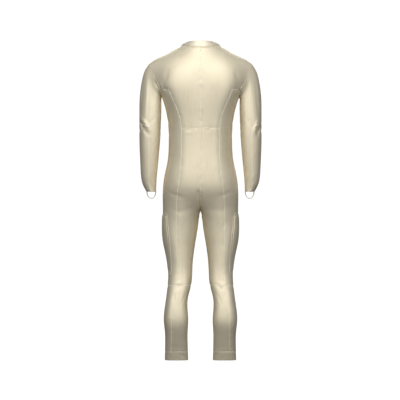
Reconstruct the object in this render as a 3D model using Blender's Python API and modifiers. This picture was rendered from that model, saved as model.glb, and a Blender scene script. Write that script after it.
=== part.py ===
"""Ski race suit in its worn, hollow form.

The cloth is one smooth surface over a coarse cage of rings. The cage's faces carry the name of the
panel that they belong to, and each panel is cut out along those edges and given a wall.
Sizes in the tables are millimetres. +X is the wearer's left, +Y the back, +Z up, and the origin is
in the middle of the neck opening, 26 mm below the collar's top at the side of the neck.
"""

import math

import bmesh
import bpy
from mathutils import Vector
from mathutils.bvhtree import BVHTree

MM = 0.001

# Cloth and seams
CLOTH_WALL = 1.6
SEAM_GAP = 0.3
ZIP_TEETH_GAP = 2.0
THIGH_PANEL_WALL = 3.2
THIGH_PANEL_EDGE = 2.0
LAID_ON_GAP = 0.4
SHARP_ANGLE = 40

# Columns of the half ring from the centre back (0) round the side (5) to the centre front (11)
BACK_SEAM, BACK_ARMHOLE, SIDE, FRONT_ARMHOLE, FRONT_SEAM, ZIP_EDGE, CENTRE_FRONT = 3, 4, 5, 6, 7, 10, 11
ZIP_HALF_WIDTH = 8.0

# Torso rings: height, half width, back, front (both along y), princess seam's distance from the middle,
# roundness. A section is an ellipse where its roundness is 1, and squarer where it is less.
TORSO_RINGS = (
    (-705, 175, 86, -103, 104, 0.84),
    (-650, 175, 105, -110, 96, 0.84),
    (-585, 167, 105, -112, 84, 0.84),
    (-515, 148, 100, -111, 81, 0.84),
    (-445, 146, 97, -110, 80, 0.84),
    (-371, 146, 96, -114, 78, 0.81),
    (-312, 153, 98, -119, 90, 0.78),
    (-262, 166, 101, -121, 112, 0.75),
)
ZIP_END_RING = 1
WAIST_SEAM_RING = 5

# The yoke above the torso rings, three rows with one corner point for each column
UNDERARM_ROW = {
    0: (0, 102, -190), 1: (52, 102, -190), 2: (104, 98, -190), 3: (151, 87, -192), 4: (194, 34, -190),
    5: (176, -6, -228), 6: (188, -54, -190), 7: (150, -92, -194), 8: (104, -111, -192), 9: (54, -118, -190),
    10: (8, -119, -190), 11: (0, -119, -190),
}
BLADE_ROW = {
    0: (0, 100, -138), 1: (52, 100, -138), 2: (104, 95, -140), 3: (159, 78, -142), 4: (207, 31, -148),
    6: (204, -52, -148), 7: (158, -86, -142), 8: (104, -102, -138), 9: (54, -108, -136),
    10: (8, -109, -136), 11: (0, -109, -136),
}
UPPER_ROW = {
    0: (0, 90, -70), 1: (50, 89, -72), 2: (104, 79, -66), 3: (162, 61, -84), 4: (230, 6, -101),
    6: (226, -42, -102), 7: (162, -62, -86), 8: (104, -72, -74), 9: (52, -82, -84),
    10: (8, -84, -86), 11: (0, -84, -86),
}
# The neck and shoulder line: back and front columns meet at the side neck, mid shoulder and shoulder tip
SIDE_NECK, MID_SHOULDER, SHOULDER_TIP = "side neck", "mid shoulder", "shoulder tip"
SHOULDER_ROW = {
    0: (0, 67, 10), 1: (48, 55, 10), SIDE_NECK: (98, 3, 38), MID_SHOULDER: (166, -1, -10),
    SHOULDER_TIP: (256, -12, -47), 9: (57, -48, -20), 10: (8, -61, -38), 11: (0, -61, -38),
}
COLLAR_TOP_ROW = {
    0: (0, 62, 30.5), 1: (45, 50, 30), SIDE_NECK: (78, 2, 26), 9: (53, -44, -1), 10: (8, -55, -15),
    11: (0, -55, -15),
}
BACK_TO_SHOULDER = {0: 0, 1: 1, 2: SIDE_NECK, 3: MID_SHOULDER, 4: SHOULDER_TIP}
FRONT_TO_SHOULDER = {6: SHOULDER_TIP, 7: MID_SHOULDER, 8: SIDE_NECK, 9: 9, 10: 10, 11: 11}
NECK_LINE = (0, 1, SIDE_NECK, 9, 10, 11)

# The crotch line between the centre back and the centre front, along y and z
CROTCH = {"c1": (44, -735), "c2": (-6, -736), "c3": (-56, -728)}
LEG_COLUMNS = tuple(range(12)) + ("c3", "c2", "c1")

# Leg rings: height, middle in x, half width, middle in y, half depth, angle of the seam down the back,
# angle of the thigh panel's edge, squareness. Angles run from the back towards the outer side.
# A section is an ellipse where its squareness is 2, and squarer where it is more.
LEG_RINGS = (
    (-780, 90, 83.5, -25, 90, 8, 64, 2.3),
    (-843, 95.5, 81.5, -25, 86, 7, 41, 2.3),
    (-903, 98, 73, -22, 81, 6, 40, 2.3),
    (-962, 95, 61, -16, 74, 8, 47, 2.5),
    (-1025, 93, 54.5, -9, 66, 9, 64, 2.8),
    (-1092, 95, 56, 4.5, 64.5, 13, 55, 3.1),
    (-1160, 112.5, 47, 16, 66, 13, 52, 3.3),
    (-1240, 113, 59, 25.5, 66.5, 18, 54, 3.4),
    (-1283, 112, 55, 23, 63, 20, 55, 3.2),
    (-1325, 111, 51.2, 14, 57, 23, 56, 2.9),
    (-1408, 111, 53.5, -1, 46, 27, 58, 2.6),
    (-1438, 111, 54, -6, 43, 27, 58, 2.6),
)
THIGH_PANEL_RINGS = range(1, 5)
THIGH_PANEL_COLUMNS = (BACK_ARMHOLE, SIDE)
UNDER_THIGH_PANEL = "side_under_thigh_panel"
KNEE_SEAM_RING = 5
ANKLE_SEAM_RING = 10
CALF_FRONT_SEAM = 9
# How far the ring rises at the outer side, so that the thigh panel's ends are round
SIDE_RISE = {0: 30, 4: -20}
# Angles of the leg's columns that no seam sets
LEG_ANGLES = {5: 90, 7: 160, 8: 174, 9: 190, 10: 207, 11: 226, "c3": 248, "c2": 270, "c1": 290}
CENTRE_BACK_ANGLE = -50

# Sleeve rings: height, how much higher the outer side is, middle in x, half width, middle in y, half depth,
# how much further forward the outer side is, squareness as for the legs
SLEEVE_RINGS = (
    (-192, 58, 226, 45, -20, 42, 12, 2.4),
    (-248, 30, 231, 51, -22, 48, 11, 2.4),
    (-300, 20, 232, 50.5, -21, 49, 8, 2.6),
    (-365, 30, 233, 49.5, -19, 49, 5, 3.1),
    (-449, 0, 235.5, 47.5, -16, 45, 4, 3.0),
    (-525, 0, 236.5, 42, -16, 41, 4, 2.5),
    (-590, 0, 239, 37.5, -17, 36.5, 4, 2.4),
    (-630, 0, 236.5, 32.5, -19, 33, 3, 2.4),
    (-662, 0, 227, 22.5, -20, 30, 2, 2.4),
)
ELBOW_SEAM_RING = 3
SLEEVE_COLUMNS = 8
FOREARM_PANEL_COLUMNS = (6, 7, 0, 1)

# Finger loop: a flat tape that hangs from both sides of the cuff
LOOP_TAPE_WIDTH = 4.5
LOOP_TAPE_WALL = 1.6
LOOP_DROP = 31
LOOP_HALF_WIDTH = 20.4
LOOP_STEPS = 14

# Zip slider and pull tab: x width, y depth, z length
SLIDER_SIZE = (8.6, 3.4, 12.0)
SLIDER_HEIGHT = -27
SLIDER_GAP = 0.6
SLIDER_TAPER = 0.72
SLIDER_EDGE = 0.7
SLIDER_EDGE_STEPS = 2
CROWN_SIZE = (2.2, 3.7, 8.0)
CROWN_SINK = 0.3
CROWN_HOLE = (2.2, 5.6)
TAB_SIZE = (6.0, 1.2, 25.0)
TAB_SLOT = (3.2, 5.0)
TAB_BAR = 1.2
# A cutter is this many times as thick as what it cuts through
CUT_THROUGH = 3

CLOTH = {"colour": (0.723, 0.651, 0.462, 1.0), "roughness": 0.42, "metallic": 0.0}
ELASTIC = {"colour": (0.723, 0.672, 0.527, 1.0), "roughness": 0.7, "metallic": 0.0}
METAL = {"colour": (0.45, 0.45, 0.43, 1.0), "roughness": 0.35, "metallic": 1.0}


def clear_scene():
    for obj in list(bpy.data.objects):
        bpy.data.objects.remove(obj, do_unlink=True)


def new_collection(name):
    collection = bpy.data.collections.new(name)
    bpy.context.scene.collection.children.link(collection)
    return collection


def new_material(name, finish):
    material = bpy.data.materials.new(name)
    material.use_nodes = True
    shader = material.node_tree.nodes["Principled BSDF"]
    shader.inputs["Base Color"].default_value = finish["colour"]
    shader.inputs["Roughness"].default_value = finish["roughness"]
    shader.inputs["Metallic"].default_value = finish["metallic"]
    return material


def fullness(before, after):
    """How much too large a ring is drawn at a corner, because the smooth surface cuts its corners.

    The surface passes a corner at four sixths of it and one sixth of each neighbour. The neighbours are
    these angles away.
    """
    return 6 / (4 + math.cos(before) + math.cos(after))


def ring_fullness(angles):
    """The fullness at each corner of a closed ring."""
    count = len(angles)
    return [
        fullness(angles[i] - angles[i - 1], angles[(i + 1) % count] - angles[i]) for i in range(count)
    ]


def side_fullness(*neighbours):
    """The same for the outermost corner, when its neighbours reach these shares of the half width."""
    return (6 - sum(neighbours)) / 4


def rounded(value, power):
    return math.copysign(abs(value) ** power, value)


def squarer(angle, power):
    """How deep a ring is at this angle. It is the cosine when the power is 2."""
    return math.copysign((1 - abs(math.sin(angle)) ** power) ** (1 / power), math.cos(angle))


class Cage:
    """The garment's corner points, and the faces between them with the panel that each belongs to."""

    def __init__(self):
        self.points = []
        self.index = {}
        self.faces = []
        self.panels = []

    def put(self, key, place):
        """Adds a point on the wearer's left and its mirror image. One on the middle plane is shared."""
        x, y, z = place
        left = len(self.points)
        self.points.append(Vector((x, y, z)))
        self.index[key, 1] = left
        self.index[key, -1] = left
        if x:
            self.index[key, -1] = left + 1
            self.points.append(Vector((-x, y, z)))

    def quad(self, keys, panel, paired=True):
        for side, letter in ((1, "L"), (-1, "R")):
            corners = [self.index[key, side] for key in keys]
            self.faces.append(corners if side == 1 else corners[::-1])
            self.panels.append(f"{panel}_{letter}" if paired else panel)


def torso_angles(half_width, seam, roundness):
    """Angles from the centre back to the centre front at which the columns cross a torso ring."""
    at_seam = math.asin((seam / half_width) ** (1 / roundness))
    at_zip = math.asin((ZIP_HALF_WIDTH / half_width) ** (1 / roundness))
    back = [at_seam * share / BACK_SEAM for share in range(BACK_SEAM + 1)]
    armhole = (at_seam + math.pi / 2) / 2
    front_steps = ZIP_EDGE - FRONT_SEAM
    front = [
        math.pi - at_zip - (at_seam - at_zip) * (front_steps - step) / front_steps
        for step in range(front_steps + 1)
    ]
    return back + [armhole, math.pi / 2, math.pi - armhole] + front + [math.pi]


def torso_points(ring, row):
    height, half_width, back, front, seam, roundness = row
    middle, depth = (back + front) / 2, (back - front) / 2
    angles = torso_angles(half_width, seam, roundness)
    mirrored = [-angle for angle in angles[CENTRE_FRONT - 1 : 0 : -1]]
    full = ring_fullness(angles + mirrored)
    reach = [full[column] * rounded(math.sin(angle), roundness) for column, angle in enumerate(angles)]
    reach[SIDE] = side_fullness(reach[BACK_ARMHOLE], reach[FRONT_ARMHOLE])
    for column, angle in enumerate(angles):
        x = half_width * reach[column]
        y = middle + depth * full[column] * rounded(math.cos(angle), roundness)
        if column in (0, CENTRE_FRONT):
            x = 0
        yield ("torso", ring, column), (x, y, height)


def leg_points(ring, row):
    height, middle_x, half_width, middle_y, half_depth, seam, panel_edge, squareness = row
    angles = dict(LEG_ANGLES)
    for column in range(BACK_SEAM + 1):
        angles[column] = CENTRE_BACK_ANGLE + (seam - CENTRE_BACK_ANGLE) * column / BACK_SEAM
    angles[BACK_ARMHOLE] = panel_edge
    angles[FRONT_ARMHOLE] = 180 - panel_edge
    turns = [math.radians(angles[column]) for column in LEG_COLUMNS]
    full = ring_fullness(turns)
    reach = [full[position] * math.sin(turn) for position, turn in enumerate(turns)]
    reach[SIDE] = side_fullness(reach[BACK_ARMHOLE], reach[FRONT_ARMHOLE])
    for position, column in enumerate(LEG_COLUMNS):
        x = middle_x + half_width * reach[position]
        y = middle_y + half_depth * full[position] * squarer(turns[position], squareness)
        rise = SIDE_RISE.get(ring, 0) if column == SIDE else 0
        yield ("leg", ring, column), (x, y, height + rise)


def sleeve_points(ring, row):
    height, outer_rise, middle_x, half_width, middle_y, half_depth, outer_forward, squareness = row
    turn = 2 * math.pi / SLEEVE_COLUMNS
    full = fullness(turn, turn)
    for column in range(SLEEVE_COLUMNS):
        angle = turn * column
        x = middle_x + half_width * full * math.cos(angle)
        depth = half_depth * full * squarer(angle - math.pi / 2, squareness)
        y = middle_y + depth - outer_forward * math.cos(angle)
        z = height + outer_rise * math.cos(angle)
        yield ("sleeve", ring, column), (x, y, z)


def yoke_points():
    rows = {"underarm": UNDERARM_ROW, "blade": BLADE_ROW, "upper": UPPER_ROW}
    rows.update({"shoulder": SHOULDER_ROW, "collar": COLLAR_TOP_ROW})
    for name, row in rows.items():
        for column, place in row.items():
            yield (name, column), place


def torso_panel(column, above_waist, above_zip_end):
    if column < BACK_SEAM:
        return "back_upper" if above_waist else "seat_back"
    if column < FRONT_SEAM:
        return "side"
    if column == ZIP_EDGE and above_zip_end:
        return "zip_tape"
    return "front"


def add_torso(cage):
    rings = len(TORSO_RINGS)
    for ring, row in enumerate(TORSO_RINGS):
        for key, place in torso_points(ring, row):
            cage.put(key, place)
    for key, place in yoke_points():
        cage.put(key, place)
    for ring in range(rings):
        for column in range(CENTRE_FRONT):
            panel = torso_panel(column, ring >= WAIST_SEAM_RING, ring >= ZIP_END_RING)
            low = [("torso", ring, column + step) for step in (1, 0)]
            high = [("torso", ring + 1, column + step) for step in (0, 1)]
            if ring == rings - 1:
                high = [("underarm", column + step) for step in (0, 1)]
            cage.quad(low + high, panel)


def add_yoke(cage):
    """Back and front above the underarm, up to the shoulder line, and the collar on the neck line."""
    back = range(BACK_ARMHOLE)
    front = range(FRONT_ARMHOLE, CENTRE_FRONT)
    for low, high in (("underarm", "blade"), ("blade", "upper")):
        for column in (*back, *front):
            keys = [(low, column + 1), (low, column), (high, column), (high, column + 1)]
            panel = "back_upper" if column in back else "front"
            cage.quad(keys, "zip_tape" if column == ZIP_EDGE else panel)
    halves = ((back, BACK_TO_SHOULDER, "back_upper"), (front, FRONT_TO_SHOULDER, "front"))
    for columns, shoulder, panel in halves:
        for column in columns:
            high = [("shoulder", shoulder[column]), ("shoulder", shoulder[column + 1])]
            keys = [("upper", column + 1), ("upper", column), *high]
            cage.quad(keys, "zip_tape" if column == ZIP_EDGE else panel)
    for first, second in zip(NECK_LINE, NECK_LINE[1:]):
        keys = [("shoulder", second), ("shoulder", first), ("collar", first), ("collar", second)]
        at_zip = first == ZIP_EDGE
        cage.quad(keys, "zip_tape" if at_zip else "collar", paired=at_zip)


def add_legs(cage):
    for name, (y, z) in CROTCH.items():
        cage.put(("torso", 0, name), (0, y, z))
    for ring, row in enumerate(LEG_RINGS):
        for key, place in leg_points(ring, row):
            cage.put(key, place)
    count = len(LEG_COLUMNS)
    for ring in range(len(LEG_RINGS)):
        for position, column in enumerate(LEG_COLUMNS):
            after = LEG_COLUMNS[(position + 1) % count]
            above = ("torso", 0) if ring == 0 else ("leg", ring - 1)
            keys = [("leg", ring, after), ("leg", ring, column), (*above, column), (*above, after)]
            cage.quad(keys, leg_panel(ring, position))


def leg_panel(ring, position):
    """The panel between the rings ring - 1 and ring, for the face that starts at this place in LEG_COLUMNS."""
    inner_seam = LEG_COLUMNS.index("c2")
    if ring > ANKLE_SEAM_RING:
        return "ankle_band"
    if ring > KNEE_SEAM_RING:
        return "calf_outer" if BACK_SEAM <= position < CALF_FRONT_SEAM else "calf_inner"
    if position < BACK_SEAM or position >= inner_seam:
        return "seat_back"
    if position in THIGH_PANEL_COLUMNS and ring in THIGH_PANEL_RINGS:
        return UNDER_THIGH_PANEL
    return "side" if position < FRONT_SEAM else "front"


def add_sleeves(cage):
    armhole = [("shoulder", SHOULDER_TIP)]
    armhole += [(row, BACK_ARMHOLE) for row in ("upper", "blade", "underarm")]
    armhole += [("underarm", SIDE)]
    armhole += [(row, FRONT_ARMHOLE) for row in ("underarm", "blade", "upper")]
    for ring, row in enumerate(SLEEVE_RINGS):
        for key, place in sleeve_points(ring, row):
            cage.put(key, place)
    for ring in range(len(SLEEVE_RINGS)):
        for column in range(SLEEVE_COLUMNS):
            after = (column + 1) % SLEEVE_COLUMNS
            above = [("sleeve", ring - 1, after), ("sleeve", ring - 1, column)]
            if ring == 0:
                above = [armhole[after], armhole[column]]
            on_panel = ring > ELBOW_SEAM_RING and column in FOREARM_PANEL_COLUMNS
            keys = [("sleeve", ring, column), ("sleeve", ring, after), *above]
            cage.quad(keys, "forearm_panel" if on_panel else "sleeve")


def smooth_surface(cage, guides):
    """The whole garment's outer surface as points, quads, one normal a point, and each quad's panel."""
    names = sorted(set(cage.panels))
    mesh = bpy.data.meshes.new("garment_cage")
    mesh.from_pydata([point * MM for point in cage.points], [], cage.faces)
    mesh.polygons.foreach_set("material_index", [names.index(panel) for panel in cage.panels])
    for name in names:
        mesh.materials.append(bpy.data.materials.new(f"guide_{name}"))
    guide = bpy.data.objects.new("garment_cage", mesh)
    guides.objects.link(guide)
    guide.hide_render = True
    guide.display_type = "WIRE"
    smooth = guide.modifiers.new("Smooth form", "SUBSURF")
    smooth.levels = smooth.render_levels = 1
    bpy.context.view_layer.update()
    graph = bpy.context.evaluated_depsgraph_get()
    fine = bpy.data.meshes.new_from_object(guide.evaluated_get(graph))
    points = [vertex.co.copy() for vertex in fine.vertices]
    normals = [vertex.normal.copy() for vertex in fine.vertices]
    quads = [tuple(face.vertices) for face in fine.polygons]
    panels = [names[face.material_index] for face in fine.polygons]
    bpy.data.meshes.remove(fine)
    return points, normals, quads, panels


def edges_of(quad):
    return zip(quad, quad[1:] + quad[:1])


def open_edges(quads):
    """Each edge that only one of these quads has, in that quad's own direction, with the quad."""
    owners = {}
    for quad in quads:
        for a, b in edges_of(quad):
            owners.setdefault(frozenset((a, b)), []).append((a, b, quad))
    return [found[0] for found in owners.values() if len(found) == 1]


def inward(points, a, b, quad):
    """The direction in the quad's plane that leads from its edge into it."""
    along = (points[b] - points[a]).normalized()
    to_middle = sum((points[i] for i in quad), Vector()) / len(quad) - (points[a] + points[b]) / 2
    return (to_middle - along * to_middle.dot(along)).normalized()


def pulled_in(points, edges, distance_of):
    """How far each point on these edges moves into its own panel, mitred at corners."""
    directions = {}
    for a, b, quad in edges:
        distance = distance_of(a, b)
        if distance:
            for point in (a, b):
                directions.setdefault(point, []).append((inward(points, a, b, quad), distance))
    moves = {}
    for point, found in directions.items():
        total = sum((direction * distance for direction, distance in found), Vector())
        if len(found) == 2:
            total /= 1 + found[0][0].dot(found[1][0])
        moves[point] = total
    return moves


def wall_mesh(name, outer, inner, quads):
    """A closed wall between two sheets that share their quads. Both sheets take the same diagonals."""
    used = sorted({i for quad in quads for i in quad})
    place = {i: position for position, i in enumerate(used)}
    count = len(used)
    faces = []
    for quad in quads:
        a, b, c, d = (place[i] for i in quad)
        faces += [(a, b, c), (a, c, d)]
        faces += [(a + count, c + count, b + count), (a + count, d + count, c + count)]
    for a, b, _ in open_edges(quads):
        first, second = place[a], place[b]
        # Both panels at a seam split the rim along the same diagonal, so that they stay parallel there.
        if first < second:
            faces += [(second, first, second + count), (first, first + count, second + count)]
        else:
            faces += [(second, first, first + count), (second, first + count, second + count)]
    mesh = bpy.data.meshes.new(name)
    mesh.from_pydata([outer[i] for i in used] + [inner[i] for i in used], [], faces)
    mesh.shade_smooth()
    mesh.set_sharp_from_angle(angle=math.radians(SHARP_ANGLE))
    return mesh


def add_piece(name, mesh, material, collection, root):
    obj = bpy.data.objects.new(name, mesh)
    mesh.materials.clear()
    mesh.materials.append(material)
    collection.objects.link(obj)
    obj.parent = root
    return obj


def add_cloth(surface, finish, collection, root):
    """Cuts each panel out of the surface, parts it from its neighbours and gives it a wall."""
    points, normals, quads, tags = surface
    panels = [tag.replace(UNDER_THIGH_PANEL, "side") for tag in tags]
    shared = {}
    for quad, panel in zip(quads, panels):
        for a, b in edges_of(quad):
            shared.setdefault(frozenset((a, b)), set()).add(panel)

    def seam_distance(a, b):
        meeting = shared[frozenset((a, b))]
        if len(meeting) < 2:
            return 0
        if meeting == {"zip_tape_L", "zip_tape_R"}:
            return ZIP_TEETH_GAP / 2 * MM
        return SEAM_GAP / 2 * MM

    for name in sorted(set(panels)):
        own = [quad for quad, panel in zip(quads, panels) if panel == name]
        moves = pulled_in(points, open_edges(own), seam_distance)
        used = {i for quad in own for i in quad}
        outer = {i: points[i] + moves.get(i, Vector()) for i in used}
        inner = {i: outer[i] - normals[i] * CLOTH_WALL * MM for i in used}
        add_piece(name, wall_mesh(name, outer, inner, own), finish, collection, root)


def add_thigh_panels(surface, finish, collection, root):
    """A raised panel made from the side panel's own points, moved out. Its rim slopes in."""
    points, normals, quads, tags = surface
    for letter in "LR":
        name = f"thigh_panel_{letter}"
        own = [quad for quad, tag in zip(quads, tags) if tag == f"{UNDER_THIGH_PANEL}_{letter}"]
        moves = pulled_in(points, open_edges(own), lambda a, b: THIGH_PANEL_EDGE * MM)
        used = {i for quad in own for i in quad}
        inner = {i: points[i] + normals[i] * LAID_ON_GAP * MM for i in used}
        lift = (LAID_ON_GAP + THIGH_PANEL_WALL) * MM
        outer = {i: points[i] + moves.get(i, Vector()) + normals[i] * lift for i in used}
        add_piece(name, wall_mesh(name, outer, inner, own), finish, collection, root)


def loop_outline(spread):
    """Half an ellipse below the cuff's hem, this far outside the middle of the tape."""
    for step in range(LOOP_STEPS + 1):
        angle = math.pi * step / LOOP_STEPS
        x = (LOOP_HALF_WIDTH + spread) * math.cos(angle)
        z = -(LOOP_DROP + spread) * math.sin(angle)
        yield x, z


def add_finger_loops(finish, collection, root):
    """A flat tape in half an ellipse. Its ends meet the hem at the inner and the outer side of the wrist."""
    hem_height, _, wrist_x, _, wrist_y, *_ = SLEEVE_RINGS[-1]
    half = LOOP_TAPE_WIDTH / 2
    outer = list(loop_outline(half))
    inner = list(loop_outline(-half))
    for side, letter in ((1, "L"), (-1, "R")):
        name = f"finger_loop_{letter}"
        points = [Vector((x, 0, z)) * MM for x, z in outer + inner]
        count = len(outer)
        faces = [(step, step + 1, step + 1 + count, step + count) for step in range(LOOP_STEPS)]
        mesh = bpy.data.meshes.new(name)
        mesh.from_pydata(points, [], faces)
        obj = add_piece(name, mesh, finish, collection, root)
        obj.location = Vector((side * wrist_x, wrist_y, hem_height - SEAM_GAP)) * MM
        wall = obj.modifiers.new("Tape thickness", "SOLIDIFY")
        wall.thickness = LOOP_TAPE_WALL * MM
        wall.offset = 0


def new_block(name, size, centre, collection):
    """A box with its own origin at the world's, so that its place is in its mesh."""
    mesh = bpy.data.meshes.new(name)
    block = bmesh.new()
    bmesh.ops.create_cube(block, size=MM)
    bmesh.ops.scale(block, vec=size, verts=block.verts)
    bmesh.ops.translate(block, vec=Vector(centre) * MM, verts=block.verts)
    block.to_mesh(mesh)
    block.free()
    obj = bpy.data.objects.new(name, mesh)
    collection.objects.link(obj)
    return obj


def cut_or_join(obj, other, operation):
    other.hide_render = True
    other.display_type = "WIRE"
    other.parent = obj
    step = obj.modifiers.new(other.name, "BOOLEAN")
    step.operation = operation
    step.object = other
    step.solver = "EXACT"


def add_slider(seat, lean, finish, collection, guides, root):
    """The slider on the zip at the collar, with the crown that carries the pull tab.

    Returns how deep in front of the zip the tab's axis is.
    """
    depth = SLIDER_SIZE[1]
    back = -SLIDER_GAP
    front = back - depth
    slider = new_block("zip_slider", SLIDER_SIZE, (0, back - depth / 2, 0), collection)
    for vertex in slider.data.vertices:
        if vertex.co.z < 0:
            vertex.co.x *= SLIDER_TAPER
    edge = slider.modifiers.new("Cast edges", "BEVEL")
    edge.width = SLIDER_EDGE * MM
    edge.segments = SLIDER_EDGE_STEPS
    crown_width, crown_depth, _ = CROWN_SIZE
    crown_middle = front - crown_depth / 2 + CROWN_SINK
    crown = new_block("crown_guide", CROWN_SIZE, (0, crown_middle, 0), guides)
    hole_depth, hole_length = CROWN_HOLE
    hole_size = (CUT_THROUGH * crown_width, hole_depth, hole_length)
    hole = new_block("crown_hole_guide", hole_size, (0, front - hole_depth / 2, 0), guides)
    cut_or_join(slider, crown, "UNION")
    cut_or_join(slider, hole, "DIFFERENCE")
    slider.data.materials.append(finish)
    slider.parent = root
    slider.location = seat
    slider.rotation_euler.x = lean
    return front - hole_depth / 2


def add_pull_tab(seat, lean, axis_depth, finish, collection, guides, root):
    """A flat tab whose top bar turns in the slider's crown. Its origin is on that axis."""
    _, wall, length = TAB_SIZE
    tab = new_block("zip_pull_tab", TAB_SIZE, (0, 0, TAB_BAR / 2 - length / 2), collection)
    slot_width, slot_length = TAB_SLOT
    slot_middle = -TAB_BAR / 2 - slot_length / 2
    slot_size = (slot_width, CUT_THROUGH * wall, slot_length)
    slot = new_block("tab_slot_guide", slot_size, (0, 0, slot_middle), guides)
    cut_or_join(tab, slot, "DIFFERENCE")
    tab.data.materials.append(finish)
    tab.parent = root
    offset = Vector((0, axis_depth * math.cos(lean), axis_depth * math.sin(lean))) * MM
    tab.location = seat + offset
    tab.rotation_euler.x = lean


def add_zip_hardware(surface, finish, collection, guides, root):
    points, _, quads, _ = surface
    tree = BVHTree.FromPolygons(points, quads)
    start = Vector((0, -1, SLIDER_HEIGHT * MM))
    seat, normal, _, _ = tree.ray_cast(start, Vector((0, 1, 0)))
    lean = -math.asin(normal.z)
    axis_depth = add_slider(seat, lean, finish, collection, guides, root)
    add_pull_tab(seat, lean, axis_depth, finish, collection, guides, root)


def main():
    clear_scene()
    suit = new_collection("ski_race_suit")
    guides = new_collection("guides")
    root = bpy.data.objects.new("suit_root", None)
    suit.objects.link(root)
    cloth = new_material("stretch_cloth", CLOTH)
    elastic = new_material("elastic_tape", ELASTIC)
    metal = new_material("zip_metal", METAL)
    cage = Cage()
    add_torso(cage)
    add_yoke(cage)
    add_legs(cage)
    add_sleeves(cage)
    surface = smooth_surface(cage, guides)
    add_cloth(surface, cloth, suit, root)
    add_thigh_panels(surface, cloth, suit, root)
    add_finger_loops(elastic, suit, root)
    add_zip_hardware(surface, metal, suit, guides, root)


main()
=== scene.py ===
# %% [markdown]
# # A ski race suit, worn and hollow
# A race suit is one skin of satin stretch knit, sewn from panels that follow the body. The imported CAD
# model already has every panel as a wall in its right place. This lesson takes each wall's outer sheet,
# makes one smooth surface of them all, presses the creases into it, cuts it into panels again, and then
# adds what a needle adds: seams, hems, the zip's teeth and the raised thigh panels.

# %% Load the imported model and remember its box
import math

import bpy
import numpy as np
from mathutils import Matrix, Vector, noise
from mathutils.bvhtree import BVHTree
from mathutils.kdtree import KDTree


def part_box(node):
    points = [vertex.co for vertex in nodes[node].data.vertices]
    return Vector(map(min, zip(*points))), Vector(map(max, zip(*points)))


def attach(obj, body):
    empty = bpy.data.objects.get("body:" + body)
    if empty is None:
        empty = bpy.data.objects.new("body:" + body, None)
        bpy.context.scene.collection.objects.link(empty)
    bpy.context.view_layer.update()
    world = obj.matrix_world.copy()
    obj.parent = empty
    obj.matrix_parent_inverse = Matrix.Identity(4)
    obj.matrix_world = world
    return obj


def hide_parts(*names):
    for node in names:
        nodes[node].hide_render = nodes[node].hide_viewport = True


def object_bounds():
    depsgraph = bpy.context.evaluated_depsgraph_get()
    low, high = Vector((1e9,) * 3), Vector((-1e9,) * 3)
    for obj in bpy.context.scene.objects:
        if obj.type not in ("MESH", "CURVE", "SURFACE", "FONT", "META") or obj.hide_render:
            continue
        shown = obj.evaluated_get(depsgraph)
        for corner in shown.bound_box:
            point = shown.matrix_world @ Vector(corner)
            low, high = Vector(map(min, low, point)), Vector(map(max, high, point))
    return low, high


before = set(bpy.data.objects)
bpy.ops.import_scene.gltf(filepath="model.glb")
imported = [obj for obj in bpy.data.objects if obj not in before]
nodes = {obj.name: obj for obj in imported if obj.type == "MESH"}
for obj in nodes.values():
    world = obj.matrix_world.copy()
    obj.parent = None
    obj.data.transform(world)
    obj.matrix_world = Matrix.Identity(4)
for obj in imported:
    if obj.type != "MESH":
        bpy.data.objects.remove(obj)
cad_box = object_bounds()
MM = 0.001
print("CAD nodes:", len(nodes))

# %% [markdown]
# ## Working by hand in a script
# Most of Blender's operators act on what is selected, so each step first selects exactly what it needs.
# More helpers read and move all of a mesh's points at once as rows of numbers, which is what makes
# creases on forty thousand points quick.

# %% Selection and point helpers


def select_only(*objects):
    bpy.ops.object.select_all(action="DESELECT")
    for obj in objects:
        obj.select_set(True)
    bpy.context.view_layer.objects.active = objects[0]


def read_points(mesh):
    flat = np.empty(len(mesh.vertices) * 3)
    mesh.vertices.foreach_get("co", flat)
    return flat.reshape(-1, 3)


def write_points(mesh, points):
    mesh.vertices.foreach_set("co", points.astype(np.float32).ravel())
    mesh.update()


def read_normals(mesh):
    flat = np.empty(len(mesh.vertices) * 3)
    mesh.vertices.foreach_get("normal", flat)
    return flat.reshape(-1, 3)


def mesh_object(name, points, faces):
    mesh = bpy.data.meshes.new(name)
    mesh.from_pydata(points, [], faces)
    obj = bpy.data.objects.new(name, mesh)
    bpy.context.scene.collection.objects.link(obj)
    return obj


# %% [markdown]
# ## Colours and nodes
# Colours are picked as web hex values, which are sRGB, while shaders work in linear light. One function
# turns the one into the other, and one more adds a node with its settings and links.

# %% Colour and node helpers


def colour(hex_value):
    parts = [int(hex_value[i : i + 2], 16) / 255 for i in (1, 3, 5)]
    return (*[p / 12.92 if p <= 0.04045 else ((p + 0.055) / 1.055) ** 2.4 for p in parts], 1.0)


def add_node(tree, kind, inputs=None, **settings):
    node = tree.nodes.new(kind)
    for name, value in settings.items():
        setattr(node, name, value)
    for name, value in (inputs or {}).items():
        if isinstance(value, bpy.types.NodeSocket):
            tree.links.new(value, node.inputs[name])
        else:
            node.inputs[name].default_value = value
    return node


def start_material(name, **shader_inputs):
    material = bpy.data.materials.new(name)
    material.use_nodes = True
    tree = material.node_tree
    tree.nodes.clear()
    inputs = {key.replace("_", " "): value for key, value in shader_inputs.items()}
    shader = add_node(tree, "ShaderNodeBsdfPrincipled", inputs)
    add_node(tree, "ShaderNodeOutputMaterial", {"Surface": shader.outputs["BSDF"]})
    return material, tree, shader


def pattern_points(tree, scale=(1, 1, 1), source="Object"):
    place = add_node(tree, "ShaderNodeTexCoord")
    mapping = add_node(tree, "ShaderNodeMapping", {"Vector": place.outputs[source], "Scale": scale})
    return mapping.outputs["Vector"]


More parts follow.
